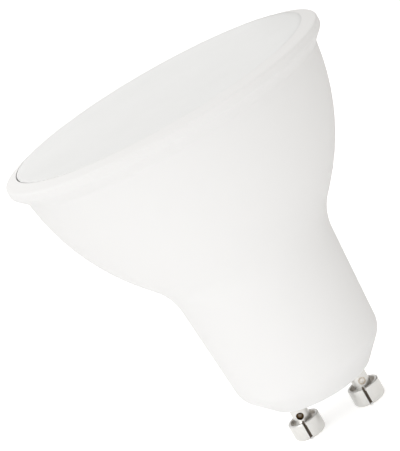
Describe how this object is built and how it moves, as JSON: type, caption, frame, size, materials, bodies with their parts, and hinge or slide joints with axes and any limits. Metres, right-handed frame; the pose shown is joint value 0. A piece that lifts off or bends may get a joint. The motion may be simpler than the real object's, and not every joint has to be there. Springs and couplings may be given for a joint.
{
  "type": "gu10 spotlight bulb",
  "caption": "White bell-shaped GU10 spotlight bulb with a sloped rim, a flush opal diffuser, a bevelled twist-lock base and rolled, slit contact pins.",
  "frame": {"origin": "Centre of the base's flat face, between the contact pins, where the lamp holder's front seat meets it.", "axes": "+Z runs along the bulb's axis from the pins to the light face; the pins stand on the X axis, one each side of the origin; -Y is the side that the pins' seams face."},
  "size_m": [0.05, 0.05, 0.0549],
  "materials": {
    "white_plastic": "satin moulded white",
    "opal_plastic": "frosted opal white",
    "plated_pin": "bright nickel plate"
  },
  "bodies": {
    "root": {"housing": "white_plastic", "diffuser": "opal_plastic", "contact_pin_left": "plated_pin", "contact_pin_right": "plated_pin"}
  },
  "joints": []
}
